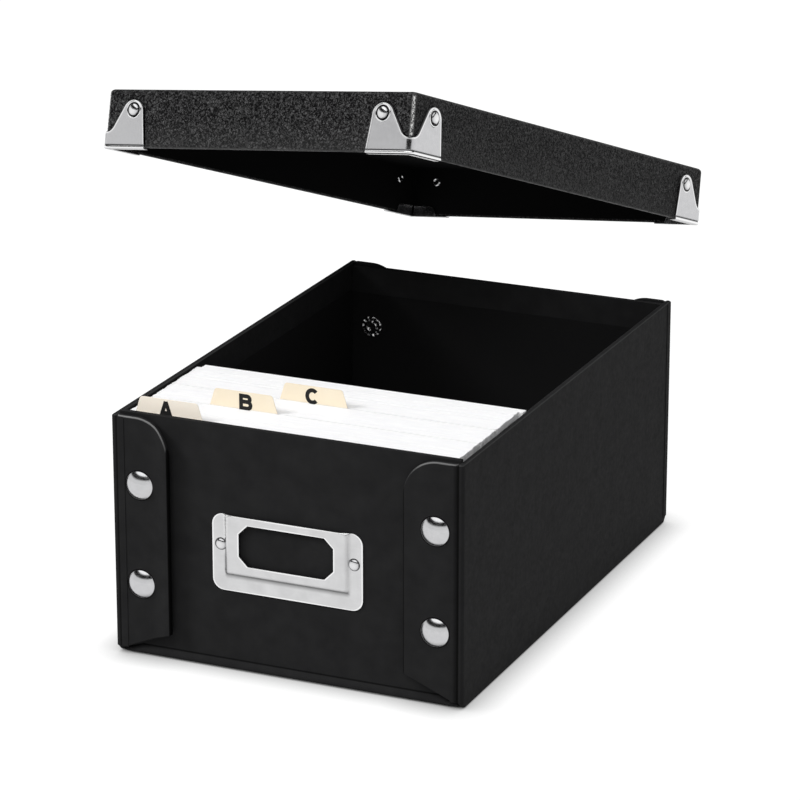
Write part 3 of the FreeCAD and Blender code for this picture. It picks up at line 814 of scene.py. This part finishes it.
# The rosette's marks are painted highlights on its ridges and painted shade in its hollows.
ROSETTE_PROFILE = (
    (0, 0.05, -0.4), (1.2, 0.05, -0.4), (1.6, 0.4, 0.6), (2.1, 0.85, 1),
    (2.7, 0.8, 0.6), (3.2, 0.48, -0.6), (3.7, 0.58, 0.2), (4.3, 0.8, 1),
    (4.9, 0.78, 1), (5.3, 0.5, 0.4), (5.5, 0.1, -0.5), (5.5, 0, -0.5),
)
ROSETTE_PETALS = 11
ROSETTE_STEPS = 96


def petals(angle, radius):
    """The clenched prongs of a snap's post, which stand up between its hub and its edge."""
    reach = smooth_step((radius - 2.5) / 1.2) * smooth_step(5.7 - radius)
    return -0.42 * reach * (0.5 + 0.5 * cos(ROSETTE_PETALS * angle))


def make_snaps(name, form, places, y, out, body, node):
    """Copies of one half of a snap, each with its base at y."""
    snaps = joined(form.moved(facing((x, y, z), out)) for x, z in places)
    make_piece(name, snaps, BRIGHT, body, [node])


def make_snaps_on_flap(end, side):
    corner, out = f"{end}_{side}", OUTWARD[end]
    places = stacked_pair(f"{corner}_snap_caps")
    caps = ("domed_caps", "snap_caps", lathe(cap_profile()))
    sockets = ("sockets", "snap_sockets", turned_ring(SOCKET_PROFILE))
    for name, kind, form in (caps, sockets):
        node = f"{corner}_{kind}"
        base = faces_of(node, end)[1]
        make_snaps(f"{corner}_{name}", form, places, base, out, f"{corner}_flap", node)


def make_snaps_on_panel(end):
    out = OUTWARD[end]
    outer, inner = faces_of(f"{end}_panel", end)
    places = [spot for side in SIDEWAYS for spot in stacked_pair(f"{end}_{side}_snap_caps")]
    stud, rosette = lathe(STUD_PROFILE), lathe(ROSETTE_PROFILE, ROSETTE_STEPS, petals)
    make_snaps(f"{end}_studs", stud, places, outer, out, "box", f"{end}_snap_studs")
    make_snaps(f"{end}_rosettes", rosette, places, inner, -out, "box", f"{end}_snap_posts")


for end, side in CORNERS:
    make_snaps_on_flap(end, side)
for end in OUTWARD:
    make_snaps_on_panel(end)


# ---- label holder

HOLDER_SHEET = 0.7
HOLDER_RISE = 1.45
HOLDER_CORNER = 5
HOLDER_SIDE = 6.6
HOLDER_FOOT = 6.3
HOLDER_BEND = 1.7
HOLDER_LOWER = 1.6
HOLDER_SHIFT = -0.9
HOLDER_RIM = 0.38
HOLDER_ROWS = 26
WINDOW_HALF = (22, 9.3)
WINDOW_CHAMFER = 4.2
WINDOW_CENTRE = Vector((0, 3.7))


def ray_hit(outline, direction):
    """Where a ray from the origin leaves a closed outline."""
    reach = 0
    for a, b in zip(outline, outline[1:] + outline[:1]):
        side = b - a
        cross = direction.cross(side)
        if abs(cross) > 1e-9 and -1e-6 <= a.cross(direction) / cross <= 1 + 1e-6:
            reach = max(reach, a.cross(side) / cross)
    return direction * reach


def make_label_holder():
    """Pressed sheet: a flat rim, and a raised middle that is open at the top, with a window."""
    low, high = box_mm("label_holder")
    half_width, half_height = (high.x - low.x) / 2, (high.z - low.z) / 2
    middle_x, middle_z = (low.x + high.x) / 2 + HOLDER_SHIFT, (low.z + high.z) / 2
    side_bend, foot_bend = half_width - HOLDER_SIDE, HOLDER_FOOT - half_height
    window = rounded_rectangle([-half for half in WINDOW_HALF], WINDOW_HALF, WINDOW_CHAMFER, 1)
    foot, head = (-half_width, -half_height - HOLDER_LOWER), (half_width, half_height)
    outer = [p - WINDOW_CENTRE for p in rounded_rectangle(foot, head, HOLDER_CORNER)]
    angles = sorted(
        {round(atan2(p.y, p.x), 5) for p in outer + window}
        | {round(radians(a), 5) for a in range(-180, 180, 3)}
    )

    def rise(x, z):
        """How far the sheet stands off the panel."""
        side = smooth_step((side_bend - abs(x)) / HOLDER_BEND + 0.5)
        step = smooth_step((z - foot_bend) / HOLDER_BEND + 0.5)
        return HOLDER_RISE * min(side, step)

    def plate_painted_light(x, z):
        """Painted shade in the bend below the raised middle, and on the left step a painted highlight
        above that turns to painted shade lower down, with faint painted shade on the right step.
        """
        inside = smooth_step((side_bend + 1.2 - abs(x)) / 1.5)
        painted_shade = -0.62 * inside * max(0, 1 - abs(z - foot_bend + 0.5) / 1.9)
        if z <= foot_bend:
            return painted_shade
        height = (z + half_height) / (2 * half_height)
        shine = -0.5 + 1.7 * smooth_step((height - 0.35) / 0.4)
        left, right = max(0, 1 - abs(x + side_bend) / 1.3), max(0, 1 - abs(x - side_bend) / 1.5)
        return painted_shade + left * shine - 0.22 * right

    spots, marks = [], []
    for j in range(-2, HOLDER_ROWS + 3):
        row = []
        for angle in angles:
            direction = Vector((cos(angle), sin(angle)))
            near, far = ray_hit(window, direction), ray_hit(outer, direction)
            margin = min(HOLDER_RIM / (far - near).length, 0.1)
            share = 2 * margin + (1 - 4 * margin) * j / HOLDER_ROWS
            if j < 0:
                share = margin * (j + 2)
            elif j > HOLDER_ROWS:
                share = 1 - margin * (HOLDER_ROWS + 2 - j)
            row.append(near.lerp(far, share) + WINDOW_CENTRE)
        spots.append(row)
        on_rim = j < 0 or j > HOLDER_ROWS
        # The rim's edges carry a painted highlight.
        marks.append([0.8 if on_rim else plate_painted_light(spot.x, spot.y) for spot in row])

    def sheet(offset):
        made = []
        for row in spots:
            depths = [high.y - rise(spot.x, spot.y) - offset for spot in row]
            flat = zip(row, depths)
            made.append([Vector((middle_x + s.x, y, middle_z + s.y)) * MM for s, y in flat])
        return made

    form = slab(sheet(HOLDER_SHEET), sheet(0), closed=True, marks=marks)
    holder = make_piece("pressed_label_holder", form, SATIN, "box", ["label_holder"])
    soften(holder, 0.18, 2)


# The marks paint a highlight on the dome and shade in the groove round it.
RIVET_PROFILE = (
    (0, 1.4, 0.35), (0.9, 1.34, 0.35), (1.6, 1.14, 0.2), (2.15, 0.82),
    (2.42, 0.45, -0.2), (2.52, 0.16, -1), (2.68, 0.08, -0.8), (2.85, 0),
)
TAIL_PROFILE = ((0, 0.2), (0.9, 0.2), (1.2, 0.55), (1.7, 0.78), (2.1, 0.6), (2.4, 0.25), (2.4, 0))


def make_holder_rivets():
    low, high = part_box("label_holder_rivets")
    radius = (high.z - low.z) / 2
    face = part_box("label_holder")[1].y - HOLDER_SHEET * MM
    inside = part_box("front_panel")[1].y
    places = [low.x + radius + HOLDER_SHIFT * MM, high.x - radius + HOLDER_SHIFT * MM]
    forms = []
    for profile, y, end in ((RIVET_PROFILE, face, "front"), (TAIL_PROFILE, inside, "back")):
        for x in places:
            forms.append(lathe(profile).moved(facing((x, y, low.z + radius), OUTWARD[end])))
    make_piece("holder_rivets", joined(forms), BRIGHT, "box", ["label_holder_rivets"])


make_label_holder()
make_holder_rivets()


# ---- lid

LID_LOW = level_box("lid_front_rim")[0]
LID_HIGH = level_box("lid_top_panel")[1]
LID_BOARD = level_box("lid_left_rim")[1].x - level_box("lid_left_rim")[0].x
LID_TOP_ROUND = 2
LID_CORNER_ROUND = 1.8
LID_EDGE_ROUND = 0.7
LID_CORNER_STEPS = 8


def lid_loop(inset, z, corner):
    """A level loop round the lid, moved to where the lid rests."""
    low, high = (LID_LOW.x + inset, LID_LOW.y + inset), (LID_HIGH.x - inset, LID_HIGH.y - inset)
    points = rounded_rectangle(low, high, corner, LID_CORNER_STEPS)
    return [LEVEL_TO_REST @ (Vector((x, y, z)) * MM) for x, y in points]


def make_lid_cover():
    """The tray's covering, from inside the rims' lower edges over the top.

    Its upright edges are scuffed, most of all in the middle of each round corner.
    """
    bottom, top, middle = LID_LOW.z, LID_HIGH.z, (LID_LOW.z + LID_HIGH.z) / 2
    # Inset, height, the corner's radius, and the marks on the corners and all round.
    sections = [
        (LID_BOARD + 0.02, bottom + 1.6, 0.5, 0, 0),
        (LID_BOARD + 0.02, bottom + LID_EDGE_ROUND, 0.5, 0, 0),
        (LID_BOARD - 0.2, bottom + 0.2, 0.7, 0, 0),
        (LID_BOARD - LID_EDGE_ROUND, bottom, 1, 0, 0),
        (LID_EDGE_ROUND, bottom, LID_CORNER_ROUND - 0.5, 0, 0.12),
        (0.2, bottom + 0.2, LID_CORNER_ROUND, 0.3, 0.3),
        (0, bottom + LID_EDGE_ROUND, LID_CORNER_ROUND, 0.9, 0.05),
        (0, middle, LID_CORNER_ROUND, 1, 0),
        (0, top - LID_TOP_ROUND, LID_CORNER_ROUND, 0.95, 0),
    ]
    for angle, inward, down in quarter_round(6)[1:]:
        inset = LID_TOP_ROUND * inward
        corner = max(LID_CORNER_ROUND - inset / 2, 0.4)
        sections.append((inset, top - LID_TOP_ROUND * down, corner, 0.5 * cos(angle), 0))
    rows = []
    for inset, z, corner, wear_and_painted_light, line in sections:
        row = []
        for i, point in enumerate(lid_loop(inset, z, corner)):
            share = (i % (LID_CORNER_STEPS + 1)) / LID_CORNER_STEPS
            row.append((point, max(wear_and_painted_light * (1 - abs(share - 0.5) * 2), line)))
        rows.append(row)
    form = capped(rows, cap_first=False)
    boards = ["lid_top_panel", "lid_front_rim", "lid_back_rim", "lid_left_rim", "lid_right_rim"]
    even_normals(make_piece("lid_cover", form, PEBBLED, "lid", boards))


def make_lid_lining():
    bottom, ceiling = LID_LOW.z, LID_HIGH.z - LID_BOARD
    sections = [
        (LID_BOARD, bottom + 1),
        (LID_BOARD + 0.25, bottom + 1.1),
        (LID_BOARD + 0.25, ceiling - 0.9),
        (LID_BOARD + 0.5, ceiling - 0.3),
        (LID_BOARD + 1.1, ceiling - 0.02),
    ]
    form = loft([lid_loop(inset, z, 0.5) for inset, z in sections], cap_last=True)
    even_normals(make_piece("lid_lining", form, SHADED_LID_LINING, "lid"))


# A corner bracket, unrolled: along its leg from the corner of the lid, and up from the lid's edge.
BRACKET_SHEET = 0.7
BRACKET_FOOT = 1.5
BRACKET_BORDER = 0.9
BRACKET_SHADOW_LINE = 0.42
BRACKET_ROWS = 12
LEG_LENGTH = 23
LOBE = (15.2, 16.4)
LOBE_RADIUS = 5.8
VALLEY = (0, 12.5)
VALLEY_RADIUS = 5.5
LIP_START = 3.4
LIP_END = 17
LIP_ROUND = 4.6
LIP_HEIGHT = 4.8
RIVET_ALONG = 15.4
RIVET_UP = 17.4


def bracket_outline():
    """The top of one leg, from its outer foot over the lobe and down to the corner's valley."""
    lobe, valley = Vector(LOBE), Vector(VALLEY)
    apart = valley - lobe
    half = degrees(acos((LOBE_RADIUS + VALLEY_RADIUS) / apart.length))
    tangent = degrees(atan2(apart.y, apart.x)) % 360 - half
    foot, shoulder = Vector((LEG_LENGTH, BRACKET_FOOT)), Vector((LOBE[0] + LOBE_RADIUS, LOBE[1]))
    points = [foot.lerp(shoulder, i / 9) for i in range(9)]
    points += arc(LOBE, LOBE_RADIUS, 0, tangent, 16)
    down = arc(VALLEY, VALLEY_RADIUS, tangent - 180, -90, 10)
    points += [points[-1].lerp(down[0], i / 5) for i in range(1, 5)]
    return points + down


def on_lid_corner(end, side):
    """A function that wraps (along, outward, up) round a corner of the lid, at rest."""
    x_sign, y_sign = SIDEWAYS[side], OUTWARD[end].y
    x = LID_HIGH.x if x_sign > 0 else LID_LOW.x
    y = LID_HIGH.y if y_sign > 0 else LID_LOW.y
    corner = Vector((x, y, LID_LOW.z))
    bend = LID_CORNER_ROUND
    half_arc = bend * pi / 4

    def wrap(along, outward, up):
        reach = bend + outward
        if along > half_arc:
            inward, depth = bend + along - half_arc, -outward
        elif along < -half_arc:
            inward, depth = -outward, bend - along - half_arc
        else:
            angle = pi / 4 * (1 - along / half_arc)
            inward, depth = bend - reach * sin(angle), bend - reach * cos(angle)
        offset = Vector((-x_sign * inward, -y_sign * depth, up))
        return LEVEL_TO_REST @ ((corner + offset) * MM)

    return wrap


def inner_lip(wrap, sign):
    """The part of the bead that turns up inside the rim. Its far end is round."""
    columns, steps, sunk = 18, 4, 0.6

    def rows(outward):
        made = [[] for _ in range(steps + 1)]
        for i in range(columns + 1):
            along = LIP_START + (LIP_END - LIP_START) * i / columns
            past = max(0, (along - LIP_END + LIP_ROUND) / LIP_ROUND)
            height = LIP_HEIGHT * sqrt(max(0, 1 - past**2))
            for j, row in enumerate(made):
                row.append(wrap(sign * along, outward, (height + sunk) * j / steps - sunk))
        return made

    # Painted shade on the lip's faces, and a painted highlight along its top edge.
    marks = [[-0.45] * (columns + 1) for _ in range(steps)] + [[0.7] * (columns + 1)]
    return slab(rows(-LID_BOARD - 0.75), rows(-LID_BOARD - 0.3), marks=marks)


# The bead under a bracket's foot: (outward, up from the lid's edge, mark). Its marks are painted shade
# in the fold above it and under it, and a painted highlight on its rounded front.
BEAD_SECTION = (
    (0.02, 1.45, 0), (0.62, 1.45, 0), (0.6, 1.25, -0.9), (0.5, 1, -1), (0.62, 0.75, -0.6),
    (0.86, 0.4, 0.9), (0.9, 0, 0.9), (0.74, -0.4, 0.3), (0.3, -0.66, -0.3), (-0.4, -0.7, -0.7),
    (-2.6, -0.7, -0.7), (-2.7, -0.4, -0.7), (-2.6, -0.05, -0.7), (-0.6, -0.02, 0), (0.02, 0.3, 0),
)
BEAD_STOPS = 40


def make_bracket(end, side):
    """One sheet round the corner, with a border that carries a painted highlight, and a bead that
    hooks under the lid's edge.
    """
    wrap = on_lid_corner(end, side)
    half = bracket_outline()
    top = half + [Vector((-p.x, p.y)) for p in reversed(half[:-1])]
    foot, border, shadow_line = [], [], []
    for place, inward in zip(top, left_of(top)):
        edge = place + inward * BRACKET_BORDER
        border.append(Vector((edge.x, max(edge.y, BRACKET_FOOT))))
        shadow_line.append(place - inward * BRACKET_SHADOW_LINE)
        foot.append(Vector((place.x, BRACKET_FOOT)))
    shares = [j / BRACKET_ROWS for j in range(BRACKET_ROWS + 1)]
    field = [[a.lerp(b, share) for a, b in zip(foot, border)] for share in shares]
    ridge = [b.lerp(t, 0.5) for b, t in zip(border, top)]

    def sheet(outward):
        depths = [outward] * len(field) + [outward + 0.1, outward, min(outward, 0.07)]
        lines = zip([*field, ridge, top, shadow_line], depths)
        return [[wrap(p.x, depth, p.y) for p in line] for line, depth in lines]

    # Painted shade on the bend at the corner. The border's ridge is a painted highlight, and past it a
    # dark strip is a painted shadow.
    marks = []
    for line in field:
        bends = [max(0, 1 - abs(p.x - 0.3) / 1.1) * min(p.y / 8, 1) for p in line]
        marks.append([-0.5 * bend for bend in bends])
    marks += [[mark] * len(top) for mark in (1, -0.9, -1)]
    form = slab(sheet(BRACKET_SHEET), sheet(0.02), marks=marks)
    rows = []
    for i in range(BEAD_STOPS + 1):
        along = LEG_LENGTH * (1 - 2 * i / BEAD_STOPS)
        rows.append([(wrap(along, outward, up), mark) for outward, up, mark in BEAD_SECTION])
    form.add(capped(rows))
    for sign in (1, -1):
        form.add(inner_lip(wrap, sign))
    name = f"{end}_{side}_corner_bracket"
    nodes = [f"lid_{end}_{side}_bracket"]
    soften(make_piece(name, form, BRIGHT, "lid", nodes), 0.15, 2)


# The marks paint a highlight on the dome and on the ring, and shade in the dimple between them.
LID_RIVET_PROFILE = (
    (0, 1.25, 0.6), (1.1, 1.18, 0.6), (1.9, 1, 0.3), (2.45, 0.74),
    (2.7, 0.42, -0.6), (2.85, 0.13, -1), (3.3, 0.04, -1), (3.5, 0.14, -0.5),
    (3.7, 0.3, 0.8), (3.9, 0.3, 0.9), (4.1, 0.14, 0), (4.2, 0),
)


def make_lid_rivets():
    forms = []
    for end, side in CORNERS:
        wrap = on_lid_corner(end, side)
        for along in (RIVET_ALONG, -RIVET_ALONG):
            face = wrap(along, BRACKET_SHEET, RIVET_UP)
            out = (face - wrap(along, 0, RIVET_UP)).normalized()
            forms.append(lathe(LID_RIVET_PROFILE).moved(facing(face, out)))
            inside = wrap(along, -LID_BOARD, RIVET_UP)
            forms.append(lathe(TAIL_PROFILE).moved(facing(inside, -out)))
    make_piece("domed_lid_rivets", joined(forms), BRIGHT, "lid", ["lid_rivets"])


make_lid_cover()
make_lid_lining()
for end, side in CORNERS:
    make_bracket(end, side)
make_lid_rivets()


# ---- cards and dividers

CARD_THICKNESS = 0.24
CARD_SPACE = 0.006
CARD_TALLER = 0.2
CARD_SLIP = 2


def make_cards(pack, seed, slipped=0):
    """Single cards in place of a pack. They stand in small bundles.

    Those within the slipped distance of the pack's back have slipped to the right.
    """
    rng = random.Random(seed)
    low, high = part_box(pack)
    forms = []
    y = low.y
    while y + CARD_THICKNESS * MM < high.y:
        shift, sink, gap = rng.uniform(-0.25, 0.25), rng.uniform(0, 0.1), rng.uniform(0, 0.04)
        for _ in range(rng.randint(3, 9)):
            if y + CARD_THICKNESS * MM > high.y:
                break
            slip = CARD_SLIP if (high.y - y) / MM < slipped else 0
            dx = (shift + slip + rng.uniform(-0.12, 0.12)) * MM
            dz = (sink + rng.uniform(0, 0.04)) * MM
            front = (low.x + dx, y, low.z)
            back = (high.x + dx, y + CARD_THICKNESS * MM, high.z + CARD_TALLER * MM - dz)
            forms.append(block(front, back))
            y += (CARD_THICKNESS + CARD_SPACE) * MM
        y += gap * MM
    make_piece(f"{pack}_single", joined(forms), CARD, pack, [pack])


def ribbon(points, width):
    """A flat stroke of a letter in the plane that faces -Y, along points given across and up."""
    points = [Vector(p) for p in points]
    rows = []
    for half in (width / 2, -width / 2):
        edge = [place + left * half for place, left in zip(points, left_of(points))]
        rows.append([Vector((p.x, 0, p.y)) * MM for p in edge])
    return loft(rows, closed=False)


LETTER_STROKE = 1.8
LETTER_TALL = 7.3
LETTER_WIDE = 6.6
LETTER_DROP = 0.85
LETTER_STANDOFF = 0.04
STROKE_STANDOFF = 0.01


def letter_strokes(letter):
    """Lines through the middle of a bold letter's strokes, from its lower left corner."""
    tall, wide, inset = LETTER_TALL, LETTER_WIDE, LETTER_STROKE / 2
    middle, waist = wide / 2, tall * 0.53
    if letter == "A":
        legs = [[(x, 0), (middle, tall - 0.1)] for x in (inset, wide - inset)]
        bar = [(wide * 0.23, tall * 0.29), (wide * 0.77, tall * 0.29)]
        return legs + [bar, [(middle - 0.65, tall - inset), (middle + 0.65, tall - inset)]]
    if letter == "B":
        strokes = [[(inset, 0), (inset, tall)]]
        for low, high, reach in ((waist, tall - inset, 0.9 * wide), (inset, waist, 0.95 * wide)):
            radius = (high - low) / 2
            curve = arc((reach - inset - radius, low + radius), radius, 90, -90, 16)
            strokes.append([(inset, high)] + curve + [(inset, low)])
        return strokes
    ellipse = arc((0, 0), 1, 42, 318, 28)
    across, up = middle - inset, tall / 2 - inset
    return [[(middle + 0.15 + x * across, tall / 2 + y * up) for x, y in ellipse]]


def make_letter(letter, divider, offset):
    """A plain index letter on the front of a divider's tab, that far right of the tab's middle."""
    low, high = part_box(divider)
    tab = [v.co.x for v in frame["nodes"][divider].data.vertices if v.co.z > high.z - 4 * MM]
    left = (min(tab) + max(tab)) / 2 + (offset - LETTER_WIDE / 2) * MM
    foot = high.z - (LETTER_DROP + LETTER_TALL) * MM
    forms = []
    for i, points in enumerate(letter_strokes(letter)):
        place = Vector((left, low.y - (LETTER_STANDOFF + STROKE_STANDOFF * i) * MM, foot))
        forms.append(ribbon(points, LETTER_STROKE).moved(Matrix.Translation(place)))
    make_piece(f"letter_{letter}", joined(forms), INK, divider)


make_cards("cards_front", 1)
make_cards("cards_behind_a", 2)
make_cards("cards_behind_b", 3)
make_cards("cards_behind_c", 4, slipped=4)
DIVIDERS = (
    ("A", "divider_a", PINK_TAB, -1.4),
    ("B", "divider_b", YELLOW_TAB, 1.3),
    ("C", "divider_c", YELLOW_TAB, -0.7),
)
for letter, divider, stock, offset in DIVIDERS:
    paint_node(divider, stock)
    make_letter(letter, divider, offset)


# ---- camera, floor and light. Their places and sizes are in metres.

CAMERA_PLACE = (0.6723, -1.5306, 0.6584)
CAMERA_AZIMUTH = radians(23.766)
CAMERA_ELEVATION = radians(18.863)
CAMERA_LENS = 178.63
CAMERA_SEES = 20


def make_camera():
    data = bpy.data.cameras.new("camera")
    data.lens = CAMERA_LENS
    data.clip_end = CAMERA_SEES
    camera = bpy.data.objects.new("camera", data)
    camera.location = CAMERA_PLACE
    camera.rotation_euler = (pi / 2 - CAMERA_ELEVATION, 0, CAMERA_AZIMUTH)
    scene.collection.objects.link(camera)
    scene.camera = camera


FLOOR_SIZE = 14
FLOOR_DROP = 0.0005
FLOOR_COLOR = 0.6
FLOOR_LIT = 0.08
CONTACT_SHADOW = 0.017


def make_floor():
    """A pale floor that the camera sees as white, except in shadow."""
    bpy.ops.mesh.primitive_plane_add(size=FLOOR_SIZE, location=(0, 0, -FLOOR_DROP))
    floor = bpy.context.object
    floor.name = "floor"
    material = bpy.data.materials.new("white_floor")
    nodes = Nodes(material)
    near = nodes.add("AmbientOcclusion", samples=12, Distance=CONTACT_SHADOW)
    glow = nodes.add("Emission", Strength=near.outputs["AO"])
    white = nodes.add("AddShader", nodes.add("BsdfDiffuse", FLOOR_LIT), glow)
    seen = nodes.ray_is("Is Camera Ray", "Is Glossy Ray")
    floor_shader = nodes.add("MixShader", seen, nodes.add("BsdfDiffuse", FLOOR_COLOR), white)
    nodes.add("OutputMaterial", floor_shader)
    floor.data.materials.append(material)


AMBIENT = 0.5

# What metal mirrors: a dark gap between the studio's white sweep and the brighter softbox over it.
# Each step of the gap is (height, brightness). Heights go from level, nought, to overhead, one.
SWEEP = 1
SOFTBOX = 1.6
SOFTBOX_GAP = ((0.33, SWEEP), (0.37, 0.01), (0.67, 0.01), (0.71, SOFTBOX))


def make_world():
    """Even light, in front of a white background that mirrors show with its gap."""
    scene.world = bpy.data.worlds.new("studio")
    nodes = Nodes(scene.world)
    direction = nodes.add("TexCoord").outputs["Generated"]
    gap = nodes.add("ValToRGB", nodes.add("SeparateXYZ", direction).outputs["Z"])
    steps = gap.color_ramp.elements
    for step, level in zip(steps, (SWEEP, SOFTBOX)):
        step.color = (level, level, level, 1)
    for height, level in SOFTBOX_GAP:
        steps.new(height).color = (level, level, level, 1)
    mirrored = nodes.add("Mix", nodes.ray_is("Is Glossy Ray"), A=1, B=gap.outputs["Color"])
    white = nodes.add("Background", 1, mirrored)
    seen = nodes.ray_is("Is Camera Ray", "Is Glossy Ray", "Is Transmission Ray")
    ambient = nodes.add("Background", 1, AMBIENT)
    nodes.add("OutputWorld", nodes.add("MixShader", seen, ambient, white))


LAMP_TARGET = Vector((0, 0, 0.08))


def make_lamp(name, place, size, power):
    data = bpy.data.lights.new(name, "AREA")
    data.size = size
    data.energy = power
    lamp = bpy.data.objects.new(name, data)
    lamp.location = place
    lamp.rotation_euler = (LAMP_TARGET - Vector(place)).to_track_quat("-Z", "Y").to_euler()
    lamp.visible_glossy = False
    scene.collection.objects.link(lamp)


make_camera()
make_floor()
make_world()
make_lamp("key", (-2.32, -1.52, 2.08), 0.96, 60)
make_lamp("front", (0.4, -2, 3.04), 2.1, 43)

scene.view_settings.view_transform = "Standard"
